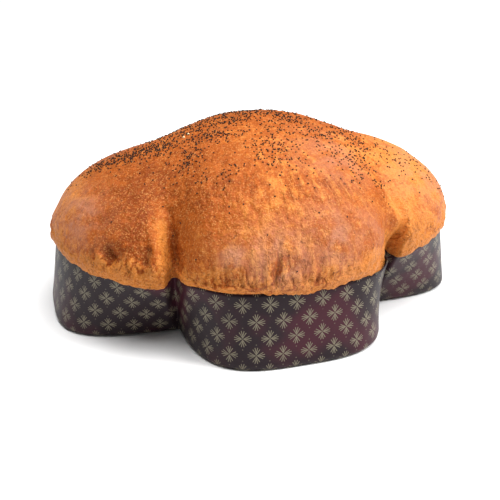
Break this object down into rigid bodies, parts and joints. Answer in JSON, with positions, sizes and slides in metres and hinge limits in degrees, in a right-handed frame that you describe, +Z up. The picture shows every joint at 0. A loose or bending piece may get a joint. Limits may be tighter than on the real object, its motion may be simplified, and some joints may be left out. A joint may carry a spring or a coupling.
{
  "type": "savory colomba loaf in paper case",
  "caption": "Dove-shaped risen festive loaf with a glossy golden crust sprinkled with poppy seeds, standing in its printed paper baking case.",
  "frame": {"origin": "on the table under the middle of the loaf's overall length and width", "axes": "+X from the tail to the head of the dove, -Y towards the right wing that faces the viewer, +Z up"},
  "size_m": [0.2454, 0.206, 0.1121],
  "materials": {
    "crust": "baked golden-brown crust with a soft sheen, fine blisters and stretch marks, and dark poppy seeds on top",
    "printed_paper": "dark plum-brown baking paper with a slight sheen and a staggered print of pale fern-armed flowers"
  },
  "bodies": {
    "root": {"bread": "crust", "paper_case": "printed_paper"}
  },
  "joints": []
}
